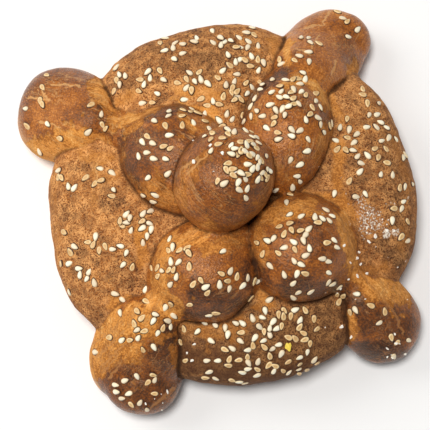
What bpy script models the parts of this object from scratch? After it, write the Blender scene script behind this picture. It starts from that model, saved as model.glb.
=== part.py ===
"""Pan de muerto, a Mexican sweet bread: a round domed loaf, four dough bones laid over its sides,
a dough ball on top and a sprinkle of sesame seeds. The dough proves and bakes together, so the
bread is one solid, and the seeds are baked onto it.

Metres, +Z up. The bread stands on z = 0 with its bounding box centred on the Z axis.
"""

import math
import random
from collections import namedtuple

import bmesh
import bpy
from mathutils import Matrix, Vector, noise
from mathutils.bvhtree import BVHTree

MM = 0.001

# The loaf: a flattened dome with a flat base.
LOAF_RADIUS = 66.6 * MM
LOAF_HEIGHT = 43.0 * MM
LOAF_EQUATOR = 17.0 * MM  # height at which the loaf is widest
LOAF_UNDERSIDE = 30.0 * MM  # how far the lower half would reach down, were it not cut flat
LOAF_FULLNESS = 2.3  # exponent of the dome's section: 2 is an ellipse, more is fuller
# Where the outline bulges, as (direction in degrees, how far in mm).
LOAF_BULGES = ((-8, 1.6), (128, 1.2), (212, 2.4))
BULGE_ANGLE = math.radians(20)
NOTCH_DEPTH = 3.0 * MM  # how far a bone pinches the loaf's outline
NOTCH_ANGLE = math.radians(11)
GROOVE_DEPTH = 9.0 * MM  # how far the dome dips along a bone
GROOVE_WIDTH = 21.0 * MM
GROOVE_START = 12.0 * MM  # the dome keeps its full height this near the centre

# The bones: dough strips with a knob at each end. They lie on the dome and droop to the tray.
BONE_HIGH = 35.5 * MM  # height of a bone's middle line on top of the dome
BONE_LOW = 10.5 * MM  # and where it lies on the tray
BONE_FALL = (35.0 * MM, 80.0 * MM)  # distances from the loaf's axis between which it falls
BONE_FLATNESS = 0.82  # height of a bone's section over its width

Knob = namedtuple("Knob", "x y radius half_length")
Neck = namedtuple("Neck", "x y radius")
Bone = namedtuple("Bone", "outer neck inner")
Tip = namedtuple("Tip", "x y radius")

# Millimetres from the loaf's axis. x runs to the right and y away, seen from the front.
BONES = {
    "back_left": Bone(Knob(-61.8, 34.6, 18.4, 18.2), Neck(-43.0, 26.0, 6.2), Knob(-18.6, 11.4, 19.2, 22.0)),
    "back_right": Bone(Knob(33.2, 56.2, 15.2, 20.2), Neck(25.8, 43.8, 9.0), Knob(18.6, 22.4, 16.4, 22.5)),
    "front_right": Bone(Knob(54.2, -43.2, 15.0, 15.2), Neck(46.0, -34.5, 6.4), Knob(24.2, -20.2, 19.3, 19.3)),
    "front_left": Bone(Knob(-34.4, -55.4, 17.6, 17.6), Neck(-27.0, -43.5, 7.4), Knob(-9.8, -28.0, 18.8, 19.0)),
}
# Two of the outer knobs and one inner knob run out into a corner, rounded like these balls.
TIPS = (Tip(41.6, 63.2, 10.6), Tip(-32.4, -63.6, 14.2), Tip(-3.0, -19.5, 11.5))

# The ball, a little longer than wide, pressed onto the bones where they meet.
BALL_CENTRE = (-3.0 * MM, 2.8 * MM, 49.0 * MM)
BALL_RADII = (19.2 * MM, 17.0 * MM, 17.5 * MM)
BALL_TURN = math.radians(55)

# Unevenness of hand-shaped dough.
LUMP_SIZE = 26.0 * MM
LUMP_HEIGHT = 1.3 * MM

# How the pieces of dough are fused into one skin.
SKIN_VOXEL = 0.9 * MM
SKIN_SMOOTHING = 1
SKIN_TRIANGLES = 4700

# Sesame seeds, lying flat and half sunk into the crust.
SEED_LENGTH = 3.3 * MM
SEED_WIDTH = 2.0 * MM
SEED_THICKNESS = 1.5 * MM
SEED_TAPER = 0.3  # how much narrower than the middle the pointed end is, and the round end wider
SEED_SPACING = 4.1 * MM
SEED_TILT = math.radians(9)
SEED_SHARE = 0.35  # of the real sprinkle, as solids
SEED_TRIES = 40
SEED_DRAW = 7
STEEPEST = 0.35  # upward part of the crust's normal, under which a seed would have rolled off

# Where they were sprinkled: middle and reach in mm, and how many seeds fell there.
Patch = namedtuple("Patch", "x y reach seeds")
SPRINKLE = {
    "loaf_back": (Patch(-30, 45, 13, 22), Patch(-2, 50, 12, 30), Patch(12, 48, 8, 10), Patch(-2, 36, 10, 26)),
    "loaf_left": (Patch(-52, 5, 9, 12), Patch(-34, -8, 8, 18), Patch(-54, -20, 9, 14), Patch(-44, -30, 12, 14)),
    "loaf_front": (Patch(-4, -52, 9, 16), Patch(14, -45, 9, 18), Patch(24, -51, 8, 14), Patch(8, -58, 10, 20)),
    "loaf_right": (Patch(48, 26, 10, 16), Patch(50, 13, 9, 14), Patch(60, -8, 9, 10), Patch(60, 15, 7, 6)),
    "back_left": (Patch(-20, 24, 7, 12), Patch(-27, 9, 8, 9), Patch(-45, 28, 6, 5), Patch(-66, 34, 13, 11)),
    "back_right": (Patch(25, 31, 11, 38), Patch(22, 17, 8, 14), Patch(27, 55, 9, 9), Patch(42, 64, 7, 6)),
    "front_right": (Patch(24, -18, 14, 46), Patch(25, -31, 8, 8), Patch(42, -36, 6, 11), Patch(57, -47, 9, 6)),
    "front_left": (Patch(-18, -27, 9, 16), Patch(-6, -33, 9, 18), Patch(-29, -47, 7, 14), Patch(-34, -64, 10, 12)),
    "ball": (Patch(5, 10, 8, 30), Patch(0, 1, 7, 8), Patch(-9, 12, 7, 7), Patch(-1, -9, 7, 3)),
}

AXIS_SHIFT = (5.5 * MM, 0.9 * MM)  # from the loaf's axis to the middle of the bounding box
BONE_POINTS = 48
TRAY_BLOCK = 400.0 * MM  # side of the block that cuts the base flat
HIGH_UP = 200.0 * MM  # where the seeds drop from
SHORTEST_EDGE = 0.03 * MM
CREASE_ANGLE = math.radians(30)  # edges sharper than this, as round a seed, aren't shaded smooth


def clear_scene():
    for thing in list(bpy.data.objects):
        bpy.data.objects.remove(thing)


def collection(name):
    made = bpy.data.collections.new(name)
    bpy.context.scene.collection.children.link(made)
    return made


def crust_material():
    material = bpy.data.materials.new("crust")
    material.use_nodes = True
    shader = material.node_tree.nodes["Principled BSDF"]
    shader.inputs["Base Color"].default_value = (0.36, 0.14, 0.04, 1)
    shader.inputs["Roughness"].default_value = 0.45
    shader.inputs["Metallic"].default_value = 0
    return material


def smoothstep(low, high, value):
    share = min(max((value - low) / (high - low), 0), 1)
    return share * share * (3 - 2 * share)


# The bones' middle lines.


def bone_lengths(bone):
    """Distances along the middle line: to the neck, and to the inner knob's centre."""
    to_neck = math.dist(bone.outer[:2], bone.neck[:2]) * MM
    return to_neck, to_neck + math.dist(bone.neck[:2], bone.inner[:2]) * MM


def bone_line(bone, along):
    """The point (x, y) at a distance along the bone, on a parabola through its three places."""
    to_neck, length = bone_lengths(bone)
    inside = min(max(along, 0), length)
    stops = (0, to_neck, length)
    places = (bone.outer, bone.neck, bone.inner)
    point = Vector((0, 0))
    slope = Vector((0, 0))
    for i, stop in enumerate(stops):
        a, b = (other for j, other in enumerate(stops) if j != i)
        place = Vector(places[i][:2]) * MM / ((stop - a) * (stop - b))
        point += place * (inside - a) * (inside - b)
        slope += place * (2 * inside - a - b)
    return point + slope * (along - inside)


def bone_radius(bone, along):
    """Half the width: two rounded knobs and the neck between them, blended."""
    _, length = bone_lengths(bone)
    radii = []
    for knob, centre in ((bone.outer, 0), (bone.inner, length)):
        off = (along - centre) / (knob.half_length * MM)
        radii.append(knob.radius * MM * math.sqrt(max(1 - off * off, 0)))
    if 0 < along < length:
        radii.append(bone.neck.radius * MM)
    return sum(radius**4 for radius in radii) ** 0.25


def bone_stations(bone, count):
    """Distances along the bone from tip to tip, closer together where the knobs round over."""
    _, length = bone_lengths(bone)
    start = -bone.outer.half_length * MM
    end = length + bone.inner.half_length * MM
    return [start + (end - start) * (1 - math.cos(math.pi * i / (count - 1))) / 2 for i in range(count)]


def bone_height(x, y):
    """Height of the middle lines: level on the dome, then down its side to the tray."""
    fall = smoothstep(*BONE_FALL, math.hypot(x, y))
    return BONE_HIGH + (BONE_LOW - BONE_HIGH) * fall


# The pieces of dough.


def lump(point):
    """A push along the normal that makes the dough's surface uneven."""
    return LUMP_HEIGHT * noise.noise(point / LUMP_SIZE)


def unevenly(thing):
    mesh = thing.data
    pushes = [vertex.normal * lump(vertex.co) for vertex in mesh.vertices]
    for vertex, push in zip(mesh.vertices, pushes):
        vertex.co += push


def sphere(name, home):
    bpy.ops.mesh.primitive_uv_sphere_add(segments=96, ring_count=64, radius=1)
    made = bpy.context.object
    made.name = name
    for other in made.users_collection:
        other.objects.unlink(made)
    home.objects.link(made)
    return made


def hump(angle, centre, width):
    off = math.remainder(angle - centre, math.tau) / width
    return math.exp(-off * off)


def loaf_outline(angle):
    """The loaf's radius in a direction: nearly round, bulging between the bones."""
    radius = LOAF_RADIUS
    for direction, bulge in LOAF_BULGES:
        radius += bulge * MM * hump(angle, math.radians(direction), BULGE_ANGLE)
    for bone in BONES.values():
        radius -= NOTCH_DEPTH * hump(angle, math.atan2(bone.outer.y, bone.outer.x), NOTCH_ANGLE)
    return radius


def loaf(home):
    """The dome, pinched in outline where the bones cross its edge and dipping along each of them."""
    made = sphere("loaf", home)
    lines = [bone_line(bone, along) for bone in BONES.values() for along in bone_stations(bone, BONE_POINTS)]
    for vertex in made.data.vertices:
        across = math.hypot(vertex.co.x, vertex.co.y)
        angle = math.atan2(vertex.co.y, vertex.co.x)
        radius = loaf_outline(angle) * across ** (2 / LOAF_FULLNESS)
        place = Vector((math.cos(angle), math.sin(angle))) * radius
        rise = abs(vertex.co.z) ** (2 / LOAF_FULLNESS)
        if vertex.co.z > 0:
            dip = min((place - line).length for line in lines) / GROOVE_WIDTH
            dip = GROOVE_DEPTH * math.exp(-dip * dip) * smoothstep(0, GROOVE_START, radius)
            height = LOAF_EQUATOR + (LOAF_HEIGHT - LOAF_EQUATOR - dip) * rise
        else:
            height = LOAF_EQUATOR - LOAF_UNDERSIDE * rise
        vertex.co = (place.x, place.y, height)
    unevenly(made)
    return made


def dough_bone(name, bone, home):
    """A level tube of varying radius, flattened, then laid over the dome."""
    curve = bpy.data.curves.new(name, "CURVE")
    curve.dimensions = "3D"
    curve.bevel_depth = MM
    curve.bevel_resolution = 10
    curve.use_fill_caps = True
    spline = curve.splines.new("POLY")
    spline.points.add(BONE_POINTS - 1)
    for point, along in zip(spline.points, bone_stations(bone, BONE_POINTS)):
        point.co = (*bone_line(bone, along), 0, 1)
        point.radius = bone_radius(bone, along) / MM
    tube = bpy.data.objects.new(name + "_line", curve)
    home.objects.link(tube)
    made = meshed(tube, name, home)
    for vertex in made.data.vertices:
        x, y, z = vertex.co
        vertex.co.z = z * BONE_FLATNESS + bone_height(x, y)
    unevenly(made)
    return made


def tip_ball(tip, home):
    """The rounded corner of a knob, as flat as the bones."""
    made = sphere("tip", home)
    radius = tip.radius * MM
    height = bone_height(tip.x * MM, tip.y * MM)
    size = Matrix.Diagonal((radius, radius, radius * BONE_FLATNESS, 1))
    made.data.transform(Matrix.Translation((tip.x * MM, tip.y * MM, height)) @ size)
    unevenly(made)
    return made


def meshed(tube, name, home):
    """The curve object as a closed mesh object. The curve is removed."""
    bpy.context.view_layer.update()
    graph = bpy.context.evaluated_depsgraph_get()
    mesh = bpy.data.meshes.new_from_object(tube.evaluated_get(graph))
    work = bmesh.new()
    work.from_mesh(mesh)
    bmesh.ops.remove_doubles(work, verts=work.verts, dist=0.01 * MM)
    work.to_mesh(mesh)
    work.free()
    made = bpy.data.objects.new(name, mesh)
    home.objects.link(made)
    made.matrix_world = tube.matrix_world
    bpy.data.objects.remove(tube)
    return made


def ball(home):
    made = sphere("ball", home)
    turn = Matrix.Rotation(BALL_TURN, 4, "Z")
    made.data.transform(Matrix.Translation(BALL_CENTRE) @ turn @ Matrix.Diagonal((*BALL_RADII, 1)))
    unevenly(made)
    return made


# One skin over all of it.


def apply_modifiers(thing):
    """Replaces the object's mesh by what its modifiers make of it."""
    bpy.context.view_layer.update()
    graph = bpy.context.evaluated_depsgraph_get()
    mesh = bpy.data.meshes.new_from_object(thing.evaluated_get(graph))
    thing.modifiers.clear()
    thing.data = mesh


def joined(name, pieces, home):
    """The pieces' meshes in one object, still crossing each other."""
    work = bmesh.new()
    for piece in pieces:
        work.from_mesh(piece.data)
        bpy.data.objects.remove(piece)
    mesh = bpy.data.meshes.new(name)
    work.to_mesh(mesh)
    work.free()
    made = bpy.data.objects.new(name, mesh)
    home.objects.link(made)
    return made


def fused(dough):
    """Bakes the crossing pieces into one skin, with their seams softened into creases."""
    remesh = dough.modifiers.new("fuse", "REMESH")
    remesh.mode = "VOXEL"
    remesh.voxel_size = SKIN_VOXEL
    smooth = dough.modifiers.new("soften", "SMOOTH")
    smooth.iterations = SKIN_SMOOTHING
    apply_modifiers(dough)


def flat_base(dough, cutters):
    """Cuts the underside level with the tray."""
    bpy.ops.mesh.primitive_cube_add(size=TRAY_BLOCK, location=(0, 0, -TRAY_BLOCK / 2))
    tray = bpy.context.object
    tray.name = "tray"
    for other in tray.users_collection:
        other.objects.unlink(tray)
    cutters.objects.link(tray)
    cut = dough.modifiers.new("flat_base", "BOOLEAN")
    cut.operation = "DIFFERENCE"
    cut.object = tray
    apply_modifiers(dough)
    bpy.data.objects.remove(tray)


def fewer_triangles(dough):
    dough.data.calc_loop_triangles()
    decimate = dough.modifiers.new("fewer", "DECIMATE")
    decimate.ratio = SKIN_TRIANGLES / len(dough.data.loop_triangles)
    decimate.use_collapse_triangulate = True
    apply_modifiers(dough)


def outer_skin(dough):
    """Drops the skins of hollows that the pieces shut in between them."""
    work = bmesh.new()
    work.from_mesh(dough.data)
    work.verts.ensure_lookup_table()
    unseen = set(work.verts)
    skins = []
    while unseen:
        skin = [unseen.pop()]
        for vertex in skin:
            for edge in vertex.link_edges:
                other = edge.other_vert(vertex)
                if other in unseen:
                    unseen.remove(other)
                    skin.append(other)
        skins.append(skin)
    skins.sort(key=len)
    for skin in skins[:-1]:
        bmesh.ops.delete(work, geom=skin, context="VERTS")
    work.to_mesh(dough.data)
    work.free()


# The seeds.


def seed_mesh():
    """A faceted drop: pulled out along x, narrower at the pointed end, and flat."""
    work = bmesh.new()
    bmesh.ops.create_icosphere(work, subdivisions=1, radius=1)
    for vertex in work.verts:
        x, y, z = vertex.co
        taper = 1 - SEED_TAPER * x
        vertex.co = (x * SEED_LENGTH / 2, y * taper * SEED_WIDTH / 2, z * taper * SEED_THICKNESS / 2)
    mesh = bpy.data.meshes.new("seed")
    work.to_mesh(mesh)
    work.free()
    return mesh


def seed_places(dough):
    """Where seeds lie, as (point, normal): random in each patch, and clear of one another."""
    mesh = dough.data
    corners = [vertex.co for vertex in mesh.vertices]
    crust = BVHTree.FromPolygons(corners, [tuple(face.vertices) for face in mesh.polygons])
    draw = random.Random(SEED_DRAW)
    places = []
    for patch in (patch for patches in SPRINKLE.values() for patch in patches):
        wanted = round(patch.seeds * SEED_SHARE)
        for _ in range(SEED_TRIES * wanted):
            if not wanted:
                break
            reach = patch.reach * MM * math.sqrt(draw.random())
            angle = draw.uniform(0, math.tau)
            x = patch.x * MM + reach * math.cos(angle)
            y = patch.y * MM + reach * math.sin(angle)
            point, normal, _, _ = crust.ray_cast(Vector((x, y, HIGH_UP)), Vector((0, 0, -1)))
            if point is None or normal.z < STEEPEST:
                continue
            if all((point - other).length > SEED_SPACING for other, _ in places):
                places.append((point, normal))
                wanted -= 1
    return places


def sprinkle(dough, home):
    """Lays the seeds on the crust, and joins them to it in one union."""
    draw = random.Random(SEED_DRAW)
    shape = seed_mesh()
    seeds = []
    for point, normal in seed_places(dough):
        seed = bpy.data.objects.new("seed", shape)
        home.objects.link(seed)
        turn = Matrix.Rotation(draw.uniform(0, math.tau), 4, "Z")
        tilt = Matrix.Rotation(draw.uniform(-SEED_TILT, SEED_TILT), 4, "Y")
        upright = normal.to_track_quat("Z", "Y").to_matrix().to_4x4()
        seed.matrix_world = Matrix.Translation(point) @ upright @ turn @ tilt
        seeds.append(seed)
    join = dough.modifiers.new("seeds", "BOOLEAN")
    join.operation = "UNION"
    join.operand_type = "COLLECTION"
    join.collection = home
    join.solver = "MANIFOLD"
    apply_modifiers(dough)
    for seed in seeds:
        bpy.data.objects.remove(seed)


def tidied(dough):
    """Closes up the shortest edges that the union left, and splits all faces into triangles."""
    work = bmesh.new()
    work.from_mesh(dough.data)
    bmesh.ops.dissolve_degenerate(work, dist=SHORTEST_EDGE, edges=work.edges)
    bmesh.ops.triangulate(work, faces=work.faces)
    work.to_mesh(dough.data)
    work.free()


def centred(thing):
    """Moves the loaf's axis, so that the bounding box is centred on the Z axis."""
    thing.data.transform(Matrix.Translation((*AXIS_SHIFT, 0)))


def build():
    clear_scene()
    bread = collection("bread")
    cutters = collection("cutters")
    topping = collection("topping")
    pieces = [loaf(bread), ball(bread)]
    pieces += [dough_bone(name, bone, bread) for name, bone in BONES.items()]
    pieces += [tip_ball(tip, bread) for tip in TIPS]
    dough = joined("pan_de_muerto", pieces, bread)
    fused(dough)
    outer_skin(dough)
    fewer_triangles(dough)
    flat_base(dough, cutters)
    sprinkle(dough, topping)
    tidied(dough)
    centred(dough)
    dough.data.materials.clear()
    dough.data.materials.append(crust_material())
    dough.data.shade_smooth()
    dough.data.set_sharp_from_angle(angle=CREASE_ANGLE)


build()
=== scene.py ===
"""How a pan de muerto looks: the crust of the loaf, bones and ball with its creases, stretch marks
and browning, the sesame seeds, a few crumbs and a little flour.

Metres, +Z up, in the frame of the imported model. The crust is worked out from the same named sizes as
the solid, only finer.
"""

import math
import random
from collections import namedtuple

import bmesh
import bpy
import numpy as np
from mathutils import Matrix, Vector, kdtree, noise
from mathutils.bvhtree import BVHTree


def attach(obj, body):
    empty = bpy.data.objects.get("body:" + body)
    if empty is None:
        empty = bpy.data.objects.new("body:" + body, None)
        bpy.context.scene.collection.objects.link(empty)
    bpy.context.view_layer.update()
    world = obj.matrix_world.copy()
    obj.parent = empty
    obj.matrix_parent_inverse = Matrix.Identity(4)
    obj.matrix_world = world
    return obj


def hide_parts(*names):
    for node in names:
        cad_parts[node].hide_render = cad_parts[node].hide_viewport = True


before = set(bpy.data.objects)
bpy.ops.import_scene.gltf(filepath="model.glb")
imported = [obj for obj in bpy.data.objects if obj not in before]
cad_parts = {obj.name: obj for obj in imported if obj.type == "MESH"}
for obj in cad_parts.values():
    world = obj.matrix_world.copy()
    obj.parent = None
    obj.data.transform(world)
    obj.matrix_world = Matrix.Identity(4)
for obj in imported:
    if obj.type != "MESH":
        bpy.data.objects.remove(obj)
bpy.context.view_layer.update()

MM = 0.001

# The loaf: a flattened dome with a flat base.
LOAF_RADIUS = 66.6 * MM
LOAF_HEIGHT = 43 * MM
LOAF_EQUATOR = 17 * MM  # height at which the loaf is widest
LOAF_UNDERSIDE = 30 * MM  # how far the lower half would reach down, were it not cut flat
LOAF_FULLNESS = 2.3  # exponent of the dome's section: 2 is an ellipse, more is fuller
# Where the outline bulges, as (direction in degrees, how far in mm).
LOAF_BULGES = ((-8, 1.6), (128, 1.2), (212, 2.4))
BULGE_ANGLE = math.radians(20)
NOTCH_DEPTH = 3 * MM  # how far a bone pinches the loaf's outline
NOTCH_ANGLE = math.radians(11)
GROOVE_DEPTH = 9 * MM  # how far the dome dips along a bone
GROOVE_WIDTH = 21 * MM
GROOVE_START = 12 * MM  # the dome keeps its full height this near the centre

# The bones: dough strips with a knob at each end. They lie on the dome and droop to the tray.
BONE_HIGH = 35.5 * MM  # height of a bone's middle line on top of the dome
BONE_LOW = 10.5 * MM  # and where it lies on the tray
BONE_FALL = (35 * MM, 80 * MM)  # distances from the loaf's axis between which it falls
BONE_FLATNESS = 0.82  # height of a bone's section over its width

Knob = namedtuple("Knob", "x y radius half_length")
Neck = namedtuple("Neck", "x y radius")
Bone = namedtuple("Bone", "outer neck inner")
Tip = namedtuple("Tip", "bone x y radius")

# Millimetres from the loaf's axis. x runs to the right and y away, seen from the front.
BONES = {
    "back_left": Bone(
        Knob(-61.8, 34.6, 18.4, 18.2), Neck(-43.0, 26.0, 6.2), Knob(-18.6, 11.4, 19.2, 22.0)
    ),
    "back_right": Bone(
        Knob(33.2, 56.2, 15.2, 20.2), Neck(25.8, 43.8, 9.0), Knob(18.6, 22.4, 16.4, 22.5)
    ),
    "front_right": Bone(
        Knob(54.2, -43.2, 15.0, 15.2), Neck(46.0, -34.5, 6.4), Knob(24.2, -20.2, 19.3, 19.3)
    ),
    "front_left": Bone(
        Knob(-34.4, -55.4, 17.6, 17.6), Neck(-27.0, -43.5, 7.4), Knob(-9.8, -28.0, 18.8, 19.0)
    ),
}
# Two of the outer knobs and one inner knob run out into a corner, rounded like these balls.
TIPS = (
    Tip("back_right", 41.6, 63.2, 10.6),
    Tip("front_left", -32.4, -63.6, 14.2),
    Tip("front_left", -3.0, -19.5, 11.5),
)

# The ball, a little longer than wide, pressed onto the bones where they meet.
BALL_CENTRE = (-3 * MM, 2.8 * MM, 49 * MM)
BALL_RADII = (19.2 * MM, 17 * MM, 17.5 * MM)
BALL_TURN = math.radians(55)

# Unevenness of hand-shaped dough.
LUMP_SIZE = 26 * MM
LUMP_HEIGHT = 1.3 * MM

AXIS_SHIFT = Vector((5.5 * MM, 0.9 * MM, 0.0))  # of the loaf's axis from the frame's Z axis

# How finely the crust and the browning are worked out.
BONE_POINTS = 110
GROOVE_POINTS = 48
GRAIN_POINTS = 60
SKIN_VOXEL = 0.75 * MM
BAKE_VOXEL = 2.2 * MM
SKIN_SMOOTHING = 2
HEAT_RAYS = 64
HEAT_POINTS = 4  # points of the coarser skin from which the finer one takes its heat
HEAT_REACH = 60 * MM  # dough farther off than this takes no heat away
DOWN = Vector((0, 0, -1))


# Meshes and objects.


def mesh_from(work, name):
    mesh = bpy.data.meshes.new(name)
    work.to_mesh(mesh)
    work.free()
    return mesh


def add_object(name, data):
    made = bpy.data.objects.new(name, data)
    bpy.context.scene.collection.objects.link(made)
    return made


def evaluated_mesh(thing):
    """The mesh that an object's modifiers or its curve make."""
    bpy.context.view_layer.update()
    return bpy.data.meshes.new_from_object(thing.evaluated_get(bpy.context.evaluated_depsgraph_get()))


# Forms of the dough, as in the solid.


def smoothstep(low, high, value):
    share = np.clip((value - low) / (high - low), 0, 1)
    return share * share * (3 - 2 * share)


def bone_lengths(bone):
    """Distances along the middle line: to the neck, and to the inner knob's centre."""
    to_neck = math.dist(bone.outer[:2], bone.neck[:2]) * MM
    return to_neck, to_neck + math.dist(bone.neck[:2], bone.inner[:2]) * MM


def bone_line(bone, along):
    """The point (x, y) at a distance along the bone, on a parabola through its three places."""
    to_neck, length = bone_lengths(bone)
    inside = min(max(along, 0), length)
    stops = (0, to_neck, length)
    places = (bone.outer, bone.neck, bone.inner)
    point = Vector((0, 0))
    slope = Vector((0, 0))
    for i, stop in enumerate(stops):
        a, b = (other for j, other in enumerate(stops) if j != i)
        place = Vector(places[i][:2]) * MM / ((stop - a) * (stop - b))
        point += place * (inside - a) * (inside - b)
        slope += place * (2 * inside - a - b)
    return point + slope * (along - inside)


def bone_radius(bone, along):
    """Half the width: two rounded knobs and the neck between them, blended."""
    _, length = bone_lengths(bone)
    radii = []
    for knob, centre in ((bone.outer, 0), (bone.inner, length)):
        off = (along - centre) / (knob.half_length * MM)
        radii.append(knob.radius * MM * math.sqrt(max(1 - off * off, 0)))
    if 0 < along < length:
        radii.append(bone.neck.radius * MM)
    return sum(radius**4 for radius in radii) ** 0.25


def bone_stations(bone, count):
    """Distances along the bone from tip to tip, closer together where the knobs round over."""
    _, length = bone_lengths(bone)
    start = -bone.outer.half_length * MM
    end = length + bone.inner.half_length * MM
    shares = ((1 - math.cos(math.pi * i / (count - 1))) / 2 for i in range(count))
    return [start + (end - start) * share for share in shares]


def bone_height(x, y):
    """Height of the middle lines: level on the dome, then down its side to the tray."""
    return BONE_HIGH + (BONE_LOW - BONE_HIGH) * float(smoothstep(*BONE_FALL, math.hypot(x, y)))


def uneven(mesh):
    """The mesh, with the lumps of dough that was shaped by hand."""
    mesh.update()
    pushes = [vertex.normal * LUMP_HEIGHT * noise.noise(vertex.co / LUMP_SIZE) for vertex in mesh.vertices]
    for vertex, push in zip(mesh.vertices, pushes):
        vertex.co += push
    return mesh


def sphere_mesh(name, segments=192, rings=128):
    work = bmesh.new()
    bmesh.ops.create_uvsphere(work, u_segments=segments, v_segments=rings, radius=1)
    return mesh_from(work, name)


def hump(angle, centre, width):
    off = math.remainder(angle - centre, math.tau) / width
    return math.exp(-off * off)


def loaf_outline(angle):
    """The loaf's radius in a direction: nearly round, bulging between the bones."""
    radius = LOAF_RADIUS
    for direction, bulge in LOAF_BULGES:
        radius += bulge * MM * hump(angle, math.radians(direction), BULGE_ANGLE)
    for bone in BONES.values():
        radius -= NOTCH_DEPTH * hump(angle, math.atan2(bone.outer.y, bone.outer.x), NOTCH_ANGLE)
    return radius


def loaf_mesh():
    """The dome, pinched in outline where the bones cross its edge and dipping along each of them."""
    mesh = sphere_mesh("loaf")
    stations = [(bone, along) for bone in BONES.values() for along in bone_stations(bone, GROOVE_POINTS)]
    lines = np.array([bone_line(bone, along) for bone, along in stations])
    for vertex in mesh.vertices:
        across = math.hypot(vertex.co.x, vertex.co.y)
        angle = math.atan2(vertex.co.y, vertex.co.x)
        radius = loaf_outline(angle) * across ** (2 / LOAF_FULLNESS)
        place = (math.cos(angle) * radius, math.sin(angle) * radius)
        rise = abs(vertex.co.z) ** (2 / LOAF_FULLNESS)
        if vertex.co.z > 0:
            dip = np.hypot(lines[:, 0] - place[0], lines[:, 1] - place[1]).min() / GROOVE_WIDTH
            dip = GROOVE_DEPTH * math.exp(-dip * dip) * float(smoothstep(0, GROOVE_START, radius))
            height = LOAF_EQUATOR + (LOAF_HEIGHT - LOAF_EQUATOR - dip) * rise
        else:
            height = LOAF_EQUATOR - LOAF_UNDERSIDE * rise
        vertex.co = (*place, height)
    return uneven(mesh)


def bone_mesh(name, bone):
    """A level tube of varying radius, flattened, then laid over the dome."""
    curve = bpy.data.curves.new(name, "CURVE")
    curve.dimensions = "3D"
    curve.bevel_depth = MM
    curve.bevel_resolution = 24
    curve.use_fill_caps = True
    spline = curve.splines.new("POLY")
    spline.points.add(BONE_POINTS - 1)
    for point, along in zip(spline.points, bone_stations(bone, BONE_POINTS)):
        point.co = (*bone_line(bone, along), 0, 1)
        point.radius = bone_radius(bone, along) / MM
    tube = add_object(name, curve)
    work = bmesh.new()
    work.from_mesh(evaluated_mesh(tube))
    bpy.data.objects.remove(tube)
    bmesh.ops.remove_doubles(work, verts=work.verts, dist=0.01 * MM)
    mesh = mesh_from(work, name)
    for vertex in mesh.vertices:
        x, y, z = vertex.co
        vertex.co.z = z * BONE_FLATNESS + bone_height(x, y)
    return uneven(mesh)


def tip_mesh(tip):
    """The rounded corner of a knob, as flat as the bones."""
    mesh = sphere_mesh("tip", 96, 64)
    radius = tip.radius * MM
    height = bone_height(tip.x * MM, tip.y * MM)
    size = Matrix.Diagonal((radius, radius, radius * BONE_FLATNESS, 1))
    mesh.transform(Matrix.Translation((tip.x * MM, tip.y * MM, height)) @ size)
    return uneven(mesh)


def ball_mesh():
    mesh = sphere_mesh("ball")
    turn = Matrix.Rotation(BALL_TURN, 4, "Z")
    mesh.transform(Matrix.Translation(BALL_CENTRE) @ turn @ Matrix.Diagonal((*BALL_RADII, 1)))
    return uneven(mesh)


def joined_mesh(name, meshes):
    work = bmesh.new()
    for mesh in meshes:
        work.from_mesh(mesh)
    return mesh_from(work, name)


def fused_object(name, mesh, voxel):
    """One skin over the crossing pieces, cut level with the tray."""
    thing = add_object(name, mesh)
    remesh = thing.modifiers.new("fuse", "REMESH")
    remesh.mode = "VOXEL"
    remesh.voxel_size = voxel
    smooth = thing.modifiers.new("soften", "SMOOTH")
    smooth.iterations = SKIN_SMOOTHING
    work = bmesh.new()
    work.from_mesh(evaluated_mesh(thing))
    thing.modifiers.clear()
    keep_outer_skin(work)
    geometry = work.verts[:] + work.edges[:] + work.faces[:]
    bmesh.ops.bisect_plane(
        work, geom=geometry, dist=0.001 * MM, plane_co=(0, 0, 0), plane_no=(0, 0, 1), clear_inner=True
    )
    bmesh.ops.holes_fill(work, edges=[edge for edge in work.edges if edge.is_boundary])
    bmesh.ops.triangulate(work, faces=work.faces)
    thing.data = mesh_from(work, name)
    return thing


def keep_outer_skin(work):
    """Drops the skins of hollows that the pieces shut in between them."""
    unseen = set(work.verts)
    skins = []
    while unseen:
        skin = [unseen.pop()]
        for vertex in skin:
            for edge in vertex.link_edges:
                other = edge.other_vert(vertex)
                if other in unseen:
                    unseen.remove(other)
                    skin.append(other)
        skins.append(skin)
    skins.sort(key=len)
    for skin in skins[:-1]:
        bmesh.ops.delete(work, geom=skin, context="VERTS")


# Numbers for every point of a mesh.


def numbers_of(items, name, width, kind=float):
    """What every vertex or edge holds under a name, a row each."""
    flat = np.empty(len(items) * width, np.float32 if kind is float else np.int32)
    items.foreach_get(name, flat)
    return flat.reshape(-1, width).astype(kind)


def normals_of(mesh):
    return numbers_of(mesh.vertices, "normal", 3)


def edges_of(mesh):
    return numbers_of(mesh.edges, "vertices", 2, int)


def move(mesh, points):
    mesh.vertices.foreach_set("co", points.astype(np.float32).ravel())
    mesh.update()


def relaxed(values, edges, rounds, share=0.5):
    """Values drawn towards their neighbours' mean, again and again."""
    ends = np.concatenate([edges[:, 0], edges[:, 1]])
    others = np.concatenate([edges[:, 1], edges[:, 0]])
    count = np.maximum(np.bincount(ends, minlength=len(values)), 1)
    table = values.reshape(len(values), -1).copy()
    for _ in range(rounds):
        for k in range(table.shape[1]):
            column = table[:, k]
            mean = np.bincount(ends, weights=column[others], minlength=len(values)) / count
            table[:, k] = column + (mean - column) * share
    return table.reshape(values.shape)


def noise_at(points, size, octaves, offset):
    shift = Vector((offset, offset * 1.7, -offset))
    return np.array([noise.fractal(Vector(point) / size + shift, 0.6, 2.0, octaves) for point in points])


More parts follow.
